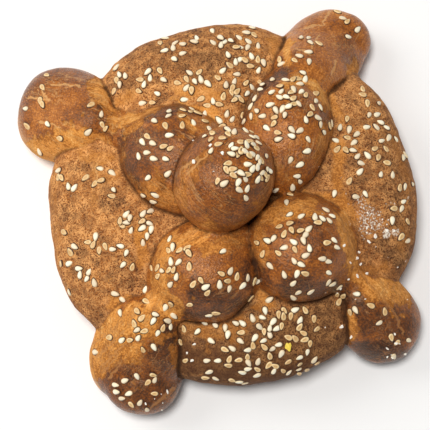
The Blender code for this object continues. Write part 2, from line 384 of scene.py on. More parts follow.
def write(mesh, name, values):
    """Keeps a number or a vector for every point, for the material to read."""
    values = np.asarray(values, np.float32)
    kind, held = ("FLOAT", "value") if values.ndim == 1 else ("FLOAT_VECTOR", "vector")
    made = mesh.attributes.new(name, kind, "POINT")
    made.data.foreach_set(held, values.ravel())


def tree_of(mesh):
    return BVHTree.FromPolygons(
        [vertex.co for vertex in mesh.vertices], [tuple(face.vertices) for face in mesh.polygons]
    )


def distances(points, mesh):
    tree = tree_of(mesh)
    return np.array([tree.find_nearest(Vector(point))[3] for point in points])


# How much heat reaches the crust from above.


def heat_directions(count):
    """Directions spread evenly over the upper half of a sphere."""
    for i in range(count):
        z = (i + 0.5) / count
        turn = i * math.pi * (3 - math.sqrt(5))
        flat = math.sqrt(1 - z * z)
        yield Vector((flat * math.cos(turn), flat * math.sin(turn), z))


def heat_at(points, meshes):
    """The share of the sky above that each point of the crust faces and sees, on a coarser skin."""
    coarse = fused_object("coarse", joined_mesh("coarse", meshes), BAKE_VOXEL)
    tree = tree_of(coarse.data)
    near = kdtree.KDTree(len(coarse.data.vertices))
    directions = list(heat_directions(HEAT_RAYS))
    most = sum(direction.z for direction in directions)
    heats = []
    for i, vertex in enumerate(coarse.data.vertices):
        start = vertex.co + vertex.normal * MM
        heat = 0
        for direction in directions:
            facing = vertex.normal.dot(direction)
            if facing > 0 and tree.ray_cast(start, direction, HEAT_REACH)[0] is None:
                heat += facing
        heats.append(heat / most)
        near.insert(vertex.co, i)
    near.balance()
    heats = relaxed(np.array(heats), edges_of(coarse.data), 2)
    found = []
    for point in points:
        close = near.find_n(point, HEAT_POINTS)
        weights = [1 / (distance + 0.2 * MM) for _, _, distance in close]
        found.append(sum(heats[i] * w for (_, i, _), w in zip(close, weights)) / sum(weights))
    bpy.data.objects.remove(coarse)
    return np.array(found)


# Streaks in which the crust differs, as (x, y, to x, to y, reach, how strongly): both ends
# in mm from the loaf's axis, and how far it reaches to each side in mm.

# Dough of the bones and ball that the egg wash missed, or that opened as it rose: golden and fibrous.
BARE_STRIPS = (
    (-50, 44, -47, 37, 4, 1.2), (-47, 39, -45, 32, 2.2, 1), (-62, 22, -49, 20, 4.4, 1),
    (-72, 20, -60, 17, 3.6, 1), (-46, 20, -41, 12, 2.4, 0.8), (-43, 26, -29, 30, 3.4, 1),
    (-37, 22, -33, 24, 1.8, 1), (-29, 0, -21, -5, 4.4, 0.62), (-18, 26, -14, 21, 2.4, 0.8),
    (-37, 4, -33, -1, 2.2, 0.6), (-17, 6, -17, -8, 1.6, 0.55), (-14, 2, -9, 9, 2.2, 0.6),
    (10, -7, 13, 2, 2, 0.45), (20, 59, 20, 49, 1.7, 0.9), (46, 51, 44, 46, 2.2, 0.8),
    (19, 38, 26, 41, 2.4, 0.8), (29, 40, 34, 32, 2.6, 0.9), (30, 12, 34, 22, 2.8, 0.6),
    (15, 8, 22, 3, 3, 0.48), (6, 30, 8, 25, 2, 0.5), (11, -10, 25, -7, 4.4, 0.75),
    (9, -16, 10, -26, 3, 0.62), (38, -10, 42, -24, 3.2, 0.95), (44, -28, 52, -34, 3, 0.9),
    (51, -33, 62, -33, 5, 1), (42, -42, 43, -50, 1.7, 0.9), (-24, -19, -10, -17, 4, 0.85),
    (-9, -22, 1, -18, 3.6, 0.6), (-25, -24, -25, -36, 3.4, 0.8), (-28, -38, -20, -42, 3.4, 1),
    (-48, -48, -30, -45, 6, 1.1), (-51, -54, -49, -61, 4.4, 0.9), (-45, -55, -36, -53, 6.4, 0.75),
    (-21, -55, -20, -59, 1.8, 0.8),
)
# Smooth golden stretches of the loaf.
BARE_LOAF = (
    (-44, 34, -36, 37, 2.8, 0.7), (-19, 38, -6, 35, 3.2, 0.8), (-13, 30, -7, 27, 3, 1.4),
    (11, 49, 14, 46, 2.4, 0.6), (15, 59, 17, 50, 2.4, 0.7), (-53, 15, -43, 14, 2.8, 0.7),
    (-49, 7, -42, 7, 2.6, 0.6), (-33, -14, -32, -24, 2.8, 0.9), (-42, -38, -31, -40, 2.8, 0.9),
    (-50, 2, -49, -5, 1.8, 0.5), (36, 37, 37, 30, 2.6, 0.9), (38, 18, 37, 2, 2.6, 0.9),
    (38, -3, 43, -8, 3, 1), (46, -27, 55, -26, 2.6, 0.6), (24, -2, 35, -2, 3, 1),
    (62, -9, 61, -18, 2.4, 0.6), (9, -34, 12, -40, 2.8, 0.9), (-14, -45, 2, -47, 6, 0.7),
    (59, 24, 64, 4, 2.2, 0.6), (-65, 9, -63, -26, 1.8, 0.5),
)
# Crust darker than round it: browned more, and painted shade on flanks and undersides turned from the
# light.
BURNT_AND_SHADED_STRIPS = (
    (-54, 30, -44, 24, 4, 0.75), (-48, 33, -44, 30, 1, 0.9), (-75, 43, -76, 30, 2.6, 0.35),
    (-77, 38, -68, 49, 5, 0.6), (-64, 50, -54, 45, 5, 0.6), (-66, 40, -56, 36, 11, 0.18),
    (-58, 30, -52, 33, 4, 0.4), (-70, 24, -62, 22, 2.6, 0.4), (-38, 18, -36, 3, 4, 0.8),
    (-29, 26, -17, 29, 3.6, 0.9), (-36, 20, -31, 8, 5.5, 0.65), (-30, 14, -22, 10, 8, 0.62),
    (-20, 23, -16, 17, 4, 0.6), (-8, 8, -4, -6, 8, 0.4), (10, -4, 6, -9, 3.6, 0.5),
    (-12, 14, -6, 15, 2.6, 0.35), (-6, -13, 5, -11, 2.6, 0.3), (17, 43, 8, 36, 2.6, 1.1),
    (8, 35, 3, 28, 2.6, 1.1), (21, 50, 27, 52, 2.6, 0.35), (33, 30, 34, 26, 1.6, 0.7),
    (23, 32, 29, 28, 3.4, 0.35), (16, 8, 30, 13, 6, 0.25), (41, 58, 45, 52, 3.4, 0.45),
    (39, 68, 45, 64, 3.6, 0.25), (25, -15, 30, -21, 4.4, 0.45), (19, -35, 37, -35, 3.6, 0.75),
    (8, -26, 12, -33, 2, 0.6), (49, -44, 62, -46, 5, 0.55), (48, -54, 60, -56, 4, 0.8),
    (40, -37, 47, -39, 2.2, 0.8), (-12, -38, 2, -40, 3.6, 0.75), (5, -26, 5, -34, 2, 0.6),
    (-16, -44, 4, -41, 2.2, 0.6), (-23, -48, -21, -53, 1.8, 0.9), (-43, -69, -26, -68, 7, 0.5),
    (-23, -64, -26, -72, 3.4, 0.5), (-29, -55, -26, -61, 2.2, 0.5), (-23, -50, -23, -66, 5, 0.7),
)
BURNT_AND_SHADED_LOAF = (
    (-21, 50, -9, 48, 4, 0.55), (-41, 47, -38, 43, 2.6, 0.5), (-7, 54, -1, 50, 3.2, 0.4),
    (-31, 57, -8, 60, 3, 0.45), (-34, 46, -4, 52, 12, 0.95), (0, 54, 14, 46, 8, 0.5),
    (-45, -4, -39, -3, 2.4, 1), (-58, 10, -52, 11, 2.6, 0.7), (-62, -5, -55, -4, 3.2, 0.5),
    (-54, -20, -50, -25, 3.4, 0.45), (-41, -27, -37, -33, 3, 0.3), (56, 0, 60, -10, 3.6, 0.7),
    (54, -17, 60, -22, 3.2, 0.8), (39, 36, 45, 35, 2.8, 0.5), (50, 18, 56, 12, 4, 0.45),
    (42, 10, 44, 5, 3, 0.4), (-18, -58, 8, -64, 6, 1.5), (8, -65, 30, -62, 5, 1.4),
    (25, -42, 35, -40, 2.4, 0.6), (29, -48, 36, -45, 2.6, 0.6), (-8, -58, 30, -56, 15, 1),
    (34, -53, 27, -59, 3, 0.5),
)
FLOURED = ((47, -7, 51, -10, 5.2, 0.78), (55, -14, 59, -13, 1.7, 1))
# Where the foot of the crust stayed pale, and where painted light falls on its left side.
PALE_LIT_FEET = (
    (-78, 26, -63, 12, 7, 1), (-69, 6, -65, -24, 6, 0.9), (-54, -48, -52, -66, 5, 1),
    (-46, 48, -36, 56, 4, 0.8),
)
# Webs of dough that fill the joints of the strips with what they lie on.
WEBS = (
    (-42, 29, -29, 28, 3.4, 1), (-56, 15, -46, 19, 2.8, 0.7), (-46, 19, -40, 11, 2.2, 0.5),
    (-27, 29, -14, 27, 2.4, 0.7), (18, 38, 28, 43, 2.6, 0.6), (45, 51, 48, 42, 3.2, 1),
    (40, -7, 42, -16, 3.2, 1), (42, -20, 45, -27, 3.6, 1), (46, -28, 57, -31, 3.6, 0.9),
    (-47, -44, -30, -43, 3.4, 1), (-29, -28, -29, -40, 2.6, 0.7), (-28, -39, -20, -44, 3, 1),
    (20, -1, 33, -4, 2.2, 0.6), (-20, -55, -18, -62, 2, 0.4), (-8, -13, 4, -12, 2.6, 0.5),
)
# And joints that are tight and deep, with darker painted shade in them.
DEEP = (
    (-45, 43, -43, 31, 1.6, 0.6), (-41, 13, -37, 3, 2, 0.5), (-37, 3, -29, -7, 2.4, 1),
    (-29, -7, -19, -10, 2.4, 0.9), (-20, 7, -19, -6, 2, 0.7), (-19, -6, -10, -15, 2, 0.9),
    (-10, -15, 3, -14, 2.2, 1), (3, -14, 12, -5, 2, 0.9), (7, -11, 7, -20, 1.8, 0.8),
    (7, -20, 10, -30, 2.4, 1), (10, -30, 22, -38, 2.4, 1), (22, -38, 40, -39, 2.4, 0.9),
    (39, -41, 39, -53, 2.6, 1), (4, -41, -8, -45, 2.4, 0.8), (-8, -45, -19, -47, 2.4, 0.9),
    (-19, -48, -21, -53, 2.2, 0.9), (-18, -54, -18, -64, 2.4, 1), (13, 8, 16, 17, 2, 0.8),
    (8, -3, 20, 0, 2.2, 1), (20, 0, 31, 7, 2.4, 0.9), (31, 7, 35, 16, 2, 0.5), (1, 27, 11, 38, 2.4, 1),
    (11, 38, 19, 48, 2.2, 0.8), (19, 48, 19, 60, 1.6, 0.6), (34, 39, 41, 41, 2, 1),
    (-28, -14, -29, -24, 1.8, 0.5),
)
# Long thin stretch marks, as (x, y, to x, to y).
TEARS = (
    (-75, 39, -67, 37), (-66, 43, -56, 42), (-70, 41, -68, 38), (-70, 29, -63, 26), (27, 65, 34, 67),
    (34, 68, 37, 73), (24, 54, 28, 52), (29, 55, 32, 61), (36, 45, 38, 50), (17, 38, 23, 42),
    (23, 41, 29, 40), (-15, 2, -9, 8), (-17, 4, -13, 7), (-48, -57, -39, -49), (-51, -52, -45, -50),
    (-47, -60, -39, -54), (-46, -62, -41, -57), (-44, -64, -40, -60), (-29, -75, -21, -68),
    (54, -37, 59, -43), (59, -43, 61, -48), (45, -27, 50, -33), (38, -10, 41, -19), (-49, 11, -48, 4),
)
TEAR_REACH = 6 * MM
RAGGED_SIZE = 5 * MM
RAGGEDNESS = 0.8  # how far the rims of the streaks wander, in shares of their reach
BROWNING_AND_SHADE_SIDE = np.array((0.45, -0.89))  # the darker side: browned more, and painted shade where it turns from the key light
BROWNING_AND_SHADE_REACH = 70 * MM
STRAW_LOW, STRAW_HIGH = 8 * MM, 22 * MM  # between these heights the pale feet and their painted light end


def beside(points, x, y, to_x, to_y):
    """How far each point lies from a mark's line, seen from above: across it, and past its ends."""
    start = np.array((x, y)) * MM
    run = np.array((to_x, to_y)) * MM - start
    length = np.linalg.norm(run)
    off = points[:, :2] - start
    along = off @ run / length
    across = (off[:, 0] * -run[1] + off[:, 1] * run[0]) / length
    return across, np.maximum(np.maximum(-along, along - length), 0)


def streaked(points, streaks):
    """The strongest of the streaks at each point, seen from above, with ragged rims."""
    found = np.zeros(len(points))
    ragged = 1 + RAGGEDNESS * noise_at(points, RAGGED_SIZE, octaves=3, offset=4)
    for *ends, reach, amount in streaks:
        away = np.hypot(*beside(points, *ends)) / (reach * MM)
        found = np.maximum(found, amount * (1 - smoothstep(0.5, 1.5, away * ragged)))
    return found


def torn_beside(points):
    """Distances across the nearest stretch mark, and past its ends, in reaches of a mark."""
    best = np.full(len(points), TEAR_REACH)
    found = np.full((len(points), 3), 1.0)
    for tear in TEARS:
        across, past = beside(points, *tear)
        away = np.hypot(across, past)
        nearer = away < best
        best[nearer] = away[nearer]
        found[nearer, 0] = across[nearer] / TEAR_REACH
        found[nearer, 1] = past[nearer] / TEAR_REACH
    return found


# The crust.

WEB_REACH = 6 * MM
WEB_ROUNDS = 90  # rounds of smoothing that draw a web over its joint
HOLLOW_ROUNDS = 14  # and those by which a hollow is told from the crust round it
SOFT_SEAM = 0.22  # how much a joint is filled that is neither webbed nor deep
LOOSE = 0.4  # how tight a joint is that is neither webbed nor deep
CREASE_WIDTH = 1 * MM
CREASE_DEPTH = 1.8 * MM
CREASE_RISE = (8 * MM, 16 * MM)  # the creases fade out between these heights, towards the tray
SEAM_REACH = 12 * MM
LOAF_EDGE = 0.8 * MM  # how far the loaf's crust and that of the strips run into each other
BASE_EDGE = 1.2 * MM  # below this height the crust keeps more and more to its form
# Waves and wrinkles of the crust: size, height on the bones, height on the loaf.
WRINKLES = (
    (11 * MM, 0.35 * MM, 0.45 * MM), (4.5 * MM, 0.10 * MM, 0.20 * MM), (2.2 * MM, 0.03 * MM, 0.10 * MM),
)
FIBRE_LENGTH = 7 * MM
FIBRE_WIDTH = 1 * MM
BALL_POLE = Vector((0.45, 0.15, 0.88)).normalized()  # the ball's stretch marks run round this


def bone_grain(bone, points):
    """Coordinates along and across a bone, in lengths and widths of its fibres."""
    stations = np.array(bone_stations(bone, GRAIN_POINTS))
    line = np.array([bone_line(bone, along) for along in stations])
    slopes = np.gradient(line, stations, axis=0)
    slopes /= np.linalg.norm(slopes, axis=1)[:, None]
    gaps = np.hypot(points[:, 0, None] - line[None, :, 0], points[:, 1, None] - line[None, :, 1])
    nearest = gaps.argmin(axis=1)
    off = points[:, :2] - line[nearest]
    slope = slopes[nearest]
    along = stations[nearest] + (off * slope).sum(axis=1)
    side = off[:, 0] * -slope[:, 1] + off[:, 1] * slope[:, 0]
    return np.stack([along / FIBRE_LENGTH, side / FIBRE_WIDTH, points[:, 2] / FIBRE_WIDTH], axis=1)


def ball_grain(points):
    """Coordinates round the ball's pole, so that its fibres are rings."""
    off = points - np.array(BALL_CENTRE)
    pole = np.array(BALL_POLE)
    across = np.cross(pole, (0, 1, 0))
    across /= np.linalg.norm(across)
    other = np.cross(pole, across)
    reach = np.linalg.norm(off, axis=1)
    tilt = np.arccos(np.clip(off @ pole / reach, -1, 1))
    rings = tilt * reach / FIBRE_WIDTH
    return np.stack([off @ across / FIBRE_LENGTH, off @ other / FIBRE_LENGTH, rings], axis=1)


def crust_object():
    bones = {name: bone_mesh(name, bone) for name, bone in BONES.items()}
    tips = [tip_mesh(tip) for tip in TIPS]
    loaf = loaf_mesh()
    ball = ball_mesh()
    every = [loaf, ball, *bones.values(), *tips]
    crust = fused_object("crust", joined_mesh("crust", every), SKIN_VOXEL)
    mesh = crust.data
    points = numbers_of(mesh.vertices, "co", 3)
    edges = edges_of(mesh)
    lifted = smoothstep(0, BASE_EDGE, points[:, 2])

    to_loaf = distances(points, loaf)
    to_ball = distances(points, ball)
    to_bones = []
    for name, bone in bones.items():
        parts = [bone] + [corner for tip, corner in zip(TIPS, tips) if tip.bone == name]
        to_bones.append(np.min([distances(points, part) for part in parts], axis=0))
    to_each = np.stack([to_loaf, to_ball, *to_bones])
    seam = np.sort(to_each, axis=0)[1]
    to_strips = np.min(to_each[1:], axis=0)
    on_loaf = smoothstep(-LOAF_EDGE, LOAF_EDGE, to_strips - to_loaf)
    bare = streaked(points, BARE_LOAF) * on_loaf + streaked(points, BARE_STRIPS) * (1 - on_loaf)
    # Darker streaks: more browning, and painted shade on flanks and undersides.
    burnt_and_shaded = streaked(points, BURNT_AND_SHADED_LOAF) * on_loaf + streaked(points, BURNT_AND_SHADED_STRIPS) * (1 - on_loaf)
    # Darker towards the front right: more browning, and painted shade of the side turned from the key
    # light.
    browning_and_shade = smoothstep(-BROWNING_AND_SHADE_REACH, BROWNING_AND_SHADE_REACH, points[:, :2] @ BROWNING_AND_SHADE_SIDE)
    floured = streaked(points, FLOURED)
    # Pale feet: pale dough, and painted light on the left side.
    pale_lit_foot = streaked(points, PALE_LIT_FEET) * (1 - smoothstep(STRAW_LOW, STRAW_HIGH, points[:, 2]))
    torn = torn_beside(points)
    heat = heat_at(points, every)

    # Webs of dough fill the seams where it stretched, and elsewhere the seams are tight.
    webbed = streaked(points, WEBS)
    deep = streaked(points, DEEP)
    soft = np.maximum(webbed, SOFT_SEAM * (1 - deep))
    web = relaxed(soft * np.exp(-(seam / WEB_REACH) ** 2), edges, 6)
    points = relaxed(points, edges, WEB_ROUNDS, 0.5 * web * lifted)
    tight = np.clip(LOOSE + (1 - LOOSE) * deep - LOOSE * webbed, 0, 1)
    move(mesh, points)
    push = -CREASE_DEPTH * np.exp(-(seam / CREASE_WIDTH) ** 2) * tight
    push *= smoothstep(*CREASE_RISE, points[:, 2])
    for i, (size, on_bones, on_dome) in enumerate(WRINKLES):
        height = on_bones + (on_dome - on_bones) * on_loaf
        push += noise_at(points, size, octaves=2, offset=3.1 * i) * height
    points += normals_of(mesh) * (relaxed(push, edges, 1) * lifted)[:, None]
    points[:, 2] = np.maximum(points[:, 2], 0)
    move(mesh, points)

    hollow = ((relaxed(points, edges, HOLLOW_ROUNDS) - points) * normals_of(mesh)).sum(axis=1)
    hollow = relaxed(hollow, edges, 1)

    # The fibres run round the ball, second in to_each, and along the bones after it.
    grain = points / FIBRE_WIDTH
    nearest = np.argmin(to_each, axis=0)
    grain[nearest == 1] = ball_grain(points[nearest == 1])
    for i, bone in enumerate(BONES.values(), 2):
        grain[nearest == i] = bone_grain(bone, points[nearest == i])
    kept = {
        "on_loaf": on_loaf, "seam": np.clip(seam / SEAM_REACH, 0, 1), "heat": heat, "bare": bare,
        "burnt_and_shaded": burnt_and_shaded, "browning_and_shade": browning_and_shade, "tight": tight, "floured": floured, "pale_lit_foot": pale_lit_foot,
        "hollow": hollow / MM, "torn": torn, "grain": grain,
    }
    for name, values in kept.items():
        write(mesh, name, values)
    mesh.shade_smooth()
    mesh.transform(Matrix.Translation(AXIS_SHIFT))
    return crust


# Materials.


class Shading:
    """A Principled material, and the nodes that work out its inputs."""

    def __init__(self, name):
        self.material = bpy.data.materials.new(name)
        self.material.use_nodes = True
        self.tree = self.material.node_tree

    def node(self, kind, inputs=(), **settings):
        made = self.tree.nodes.new(kind)
        for name, value in settings.items():
            setattr(made, name, value)
        self.feed(made, inputs)
        return made

    def feed(self, node, inputs):
        """Links or sets a node's inputs, given by name or number."""
        for name, value in dict(inputs).items():
            if isinstance(value, bpy.types.NodeSocket):
                self.tree.links.new(value, node.inputs[name])
            else:
                node.inputs[name].default_value = value

    def finished(self, inputs):
        """The material, with the inputs of its shader."""
        self.feed(self.tree.nodes["Principled BSDF"], inputs)
        return self.material

    def attribute(self, name, output="Fac"):
        return self.node("ShaderNodeAttribute", attribute_name=name).outputs[output]

    def place(self):
        return self.node("ShaderNodeTexCoord").outputs["Object"]

    def noise(self, vector, scale, detail, rough, distortion=0.0):
        inputs = {"Vector": vector, "Scale": scale, "Detail": detail, "Roughness": rough}
        inputs["Distortion"] = distortion
        return self.node("ShaderNodeTexNoise", inputs).outputs["Fac"]

    def maths(self, operation, a, b=0.0, c=0.0, clamp=False):
        inputs = enumerate((a, b, c))
        return self.node("ShaderNodeMath", inputs, operation=operation, use_clamp=clamp).outputs[0]

    def varied(self, value, *noises):
        """The value with each noise added, centred on nought and times its amount."""
        for noise_value, amount in noises:
            value = self.maths("MULTIPLY_ADD", self.maths("SUBTRACT", noise_value, 0.5), amount, value)
        return value

    def lines(self, value, width):
        """Thin lines where a noise passes its middle."""
        off = self.maths("ABSOLUTE", self.maths("SUBTRACT", value, 0.5))
        return self.remap(off, 0.0, width, 1.0, 0.0)

    def blend(self, share, a, b):
        inputs = {"Factor": share, "A": a, "B": b}
        return self.node("ShaderNodeMix", inputs, data_type="RGBA").outputs["Result"]

    def remap(self, value, low, high, to_low=0.0, to_high=1.0):
        inputs = enumerate((value, low, high, to_low, to_high))
        return self.node("ShaderNodeMapRange", inputs, interpolation_type="SMOOTHSTEP").outputs[0]

    def ramp(self, share, stops):
        made = self.node("ShaderNodeValToRGB", {"Fac": share})
        made.color_ramp.interpolation = "EASE"
        elements = made.color_ramp.elements
        for i, (place, colour) in enumerate(stops):
            element = elements[i] if i < 2 else elements.new(place)
            element.position = place
            element.color = linear(colour)
        return made.outputs["Color"]


def linear(colour):
    """An sRGB colour of 0 to 255 as linear numbers."""
    shares = [channel / 255 for channel in colour]
    made = [share / 12.92 if share < 0.04045 else ((share + 0.055) / 1.055) ** 2.4 for share in shares]
    return (*made, 1.0)


# From pale dough to dark crust, as (how baked, colour). A ramp starts out with its two ends.
WASHED_COLOURS = (
    (0, (204, 131, 62)), (1, (58, 37, 28)), (0.25, (168, 98, 39)), (0.5, (133, 75, 34)),
    (0.75, (95, 56, 34)),
)
GOLDEN_COLOURS = (
    (0, (242, 184, 108)), (1, (94, 55, 24)), (0.3, (218, 145, 67)), (0.6, (163, 98, 37)),
)
LOAF_COLOURS = (
    (0, (206, 134, 68)), (1, (80, 45, 26)), (0.25, (174, 105, 45)), (0.5, (143, 82, 36)),
    (0.75, (112, 63, 32)),
)
# Painted shade of creases and hollows.
CREASE_SHADE_COLOUR = (48, 25, 13)
TORN_COLOUR = (224, 168, 104)
TORN_DARK = (176, 118, 66)
FIBRE_COLOUR = (236, 171, 104)
FLOUR_COLOUR = (246, 234, 216)
GLAZE_COLOUR = (255, 222, 190)
# Noises of the crust, as (repeats in a metre, detail, roughness, distortion). STRANDS and CRACKS count
# their repeats in a fibre's length or width instead.
STRANDS = (1, 4, 0.65, 0.3)
BROAD = (90, 3, 0.55)
PATCHY = (260, 4, 0.6)
SPECKS = (800, 3, 0.65, 1.4)
GRIT = (1500, 2, 0.6)
FINE = (2600, 3, 0.6)
CURLS = (820, 2, 0.5, 1)
LONG_CURLS = (560, 2, 0.5, 1.4)
TEAR_WANDER = (420, 3, 0.6)
CRACKS = (0.32, 4, 0.6, 0.8)
CRACKED_AREAS = (75, 2, 0.5)
BUMP_STRENGTH = 0.8
BUMP_HEIGHT = 0.3 * MM


def crust_material():
    s = Shading("crust")
    place = s.place()
    grain = s.attribute("grain", "Vector")
    marks = ("on_loaf", "heat", "bare", "burnt_and_shaded", "browning_and_shade", "tight")
    on_loaf, heat, bare, burnt_and_shaded, browning_and_shade, tight = (s.attribute(mark) for mark in marks)
    strands = s.noise(grain, *STRANDS)
    kinds = (BROAD, PATCHY, SPECKS, GRIT, FINE)
    broad, patchy, specks, grit, fine = (s.noise(place, *kind) for kind in kinds)

    def baked(value, by_browning_and_shade, where_burnt_and_shaded, colours):
        """The colour of dough baked this far, darker towards the front right and in the darker streaks:
        more browning, and painted shade.
        """
        value = s.maths("MULTIPLY_ADD", browning_and_shade, by_browning_and_shade, value)
        value = s.maths("MULTIPLY_ADD", burnt_and_shaded, where_burnt_and_shaded, value, clamp=True)
        return s.ramp(value, colours)

    # The egg-washed dough of the strips and the ball.
    washed = s.remap(heat, 0.5, 0.93, 0.20, 0.46)
    washed = s.varied(washed, (broad, 0.45), (patchy, 0.55), (strands, 0.7), (grit, 1.2), (fine, 0.8))
    washed = baked(washed, 0.24, 0.5, WASHED_COLOURS)

    # The bare dough between, with a jagged edge.
    golden = s.remap(bare, 0.4, 1, 0.50, 0.26)
    golden = s.varied(golden, (strands, 0.85), (patchy, 0.7), (grit, 0.9), (fine, 0.6))
    golden = baked(golden, 0.08, 0.4, GOLDEN_COLOURS)
    missed = s.remap(s.varied(bare, (strands, 0.9), (specks, 0.5)), 0.33, 0.66)
    strips = s.blend(missed, washed, golden)

    # The loaf: dark specks and light curled fibres, and smooth golden stretches.
    dome = s.remap(heat, 0.3, 0.97, 0.40, 0.68)
    dome = s.varied(dome, (broad, 0.7), (patchy, 1.1), (specks, 1), (grit, 1.4), (fine, 1))
    dome = baked(dome, 0.40, 0.40, LOAF_COLOURS)
    curls = s.lines(s.noise(place, *CURLS), 0.08)
    curls = s.maths("MAXIMUM", s.lines(s.noise(place, *LONG_CURLS), 0.07), curls)
    fades = ((patchy, 0.36, 0.60, 0.40), (browning_and_shade, 0.3, 1, 0.65), (burnt_and_shaded, 0.6, 1.5, 0.30))
    for value, low, high, least in fades:
        curls = s.maths("MULTIPLY", curls, s.remap(value, low, high, 1, least))
    dome = s.blend(curls, dome, linear(FIBRE_COLOUR))
    smooth = s.varied(0.30, (broad, 0.4), (patchy, 0.5), (grit, 0.9), (fine, 0.5))
    smooth = baked(smooth, 0.22, 0, GOLDEN_COLOURS)
    dome = s.blend(s.remap(s.varied(bare, (patchy, 1), (specks, 0.8)), 0.30, 1.15), dome, smooth)
    colour = s.blend(on_loaf, strips, dome)

    # Stretch marks, where dough tore as it rose: long ones, and a web of fine ones.
    split = s.node("ShaderNodeSeparateXYZ", {0: s.attribute("torn", "Vector")})
    across = s.varied(split.outputs[0], (s.noise(place, *TEAR_WANDER), 0.55))
    ends = s.remap(split.outputs[1], 0, 0.25, 0.075, 0)
    torn = s.maths("DIVIDE", s.maths("ABSOLUTE", across), s.maths("MAXIMUM", ends, 0.001))
    torn = s.remap(torn, 0.5, 1.3, 1, 0)
    cracks = s.lines(s.noise(grain, *CRACKS), 0.03)
    where = s.remap(s.noise(place, *CRACKED_AREAS), 0.47, 0.61)
    where = s.maths("MAXIMUM", where, s.remap(bare, 0.1, 0.6))
    cracks = s.maths("MULTIPLY", cracks, where)
    cracks = s.maths("MULTIPLY", cracks, s.remap(on_loaf, 0, 1, 0.95, 0.2))
    torn = s.maths("MAXIMUM", torn, cracks)
    # The stretch marks are darker towards the front right, with that side's painted shade.
    light = s.blend(browning_and_shade, linear(TORN_COLOUR), linear(TORN_DARK))
    colour = s.blend(s.maths("MULTIPLY", torn, 0.7), colour, light)

    # Flour left from the table, and the pale foot where the crust touched the tray, with painted light on
    # the left side that faces the key light.
    dust = s.varied(s.attribute("floured"), (specks, 1.8), (grit, 2.2), (patchy, 1.2))
    dust = s.remap(dust, 0.72, 1.25, 0, 0.85)
    colour = s.blend(dust, colour, linear(FLOUR_COLOUR))
    pale_lit_foot = s.varied(s.attribute("pale_lit_foot"), (patchy, 1), (specks, 0.6), (grit, 0.6))
    pale = s.ramp(s.varied(0.10, (broad, 0.3), (patchy, 0.4), (grit, 0.5), (fine, 0.4)), GOLDEN_COLOURS)
    colour = s.blend(s.remap(pale_lit_foot, 0.25, 1.05, 0, 0.9), colour, pale)

    # Painted shade: creases and hollows are darkened, as shade falls in them.
    crease_shade = s.remap(s.attribute("seam"), 0.03, 0.10, 0.85, 0)
    crease_shade = s.maths("MULTIPLY", crease_shade, s.remap(tight, 0, 0.8, 0.10, 1))
    shaded = s.remap(s.attribute("hollow"), 0.1, 0.7, 0, 0.30)
    shaded = s.maths("MULTIPLY", shaded, s.remap(tight, 0.1, 1))
    crease_shade = s.maths("MAXIMUM", crease_shade, shaded)
    colour = s.blend(crease_shade, colour, linear(CREASE_SHADE_COLOUR))

    # Egg wash gives a gloss, but not in the creases.
    glazed = s.maths("MULTIPLY", s.maths("SUBTRACT", 1, on_loaf), s.maths("SUBTRACT", 1, missed))
    rough = s.varied(s.remap(glazed, 0, 1, 0.88, 0.28), (fine, 0.25))
    rough = s.maths("MAXIMUM", rough, s.remap(crease_shade, 0.1, 0.5, 0, 0.95))

    height = s.maths("MULTIPLY", specks, s.remap(on_loaf, 0, 1, 0.75, 1))
    height = s.maths("MULTIPLY_ADD", grit, 0.8, height)
    height = s.maths("MULTIPLY_ADD", strands, s.remap(on_loaf, 0, 1, 0.45, 0), height)
    height = s.maths("MULTIPLY_ADD", torn, -0.5, height)
    relief = {"Strength": BUMP_STRENGTH, "Distance": BUMP_HEIGHT, "Height": height}
    bump = s.node("ShaderNodeBump", relief).outputs[0]
    glaze = {"Roughness": rough, "Specular IOR Level": 0.5, "Specular Tint": linear(GLAZE_COLOUR)}
    return s.finished({"Base Color": colour, "Normal": bump, **glaze})


SEED_MOTTLE = (1400, 3, 0.6)  # a noise, as those of the crust
SEED_TONE_COLOUR = (206, 160, 104)
# Egg wash round a seed, darkened as painted contact shadow.
SEED_WASH_SHADOW_COLOUR = (76, 43, 23)
SEED_GLOSS = {"Roughness": 0.42, "Specular IOR Level": 0.4}


def sesame_material(name, middle, rim):
    s = Shading(name)
    mottle = s.maths("SUBTRACT", s.noise(s.place(), *SEED_MOTTLE), 0.5)
    shade = s.maths("MULTIPLY_ADD", mottle, 0.5, s.attribute("edge"), clamp=True)
    colour = s.blend(shade, linear(middle), linear(rim))
    tone = s.remap(s.attribute("tone"), 0, 1, 0, 0.35)
    colour = s.blend(tone, colour, linear(SEED_TONE_COLOUR))
    # A dark rim round each seed: egg wash, and painted contact shadow.
    colour = s.blend(s.attribute("wash"), colour, linear(SEED_WASH_SHADOW_COLOUR))
    return s.finished({"Base Color": colour, **SEED_GLOSS})


def plain_material(name, colour, rough):
    return Shading(name).finished({"Base Color": colour, "Roughness": rough})


# Sesame.

SEED_LENGTH = 3 * MM
SEED_WIDTH = 1.7 * MM
SEED_THICKNESS = 0.85 * MM
SEED_TAPER = 0.32  # how much narrower the pointed end is, and the round end wider
SEED_SIZES = (0.88, 1.12)
SEED_SPACING = 2.1 * MM
HEAPED = 12  # a patch of this many or more is heaped, at a spacing of its own
HEAPED_SPACING = 1.5 * MM
SEED_TOUCH = 2.6 * MM  # nearer than this, one lies partly on the other
SEED_TILT = math.radians(12)  # and twice that where it lies on another
SEED_LIFT = 0.16  # how far a seed's middle is above the crust, in thicknesses
SEED_LIFT_ON_TOP = 0.60
SEED_DRAW = 7
SEED_TRIES = 60
STEEPEST = 0.12  # the upward part of the crust's direction, below which no seed stays on it
WASH_SHADOW_RIM = 0.32 * MM  # egg wash gathered round a seed, darkened as painted contact shadow
HIGH_UP = 200 * MM  # from here, what is scattered drops onto the crust
PALE_SHARE = 0.58
# The kinds, as (name, whether its middle is dented, colours of the middle and the rim).
SEED_KINDS = (
    ("sesame_pale", False, (255, 250, 226), (246, 226, 184)),
    ("sesame_toasted", True, (218, 174, 116), (246, 218, 164)),
)
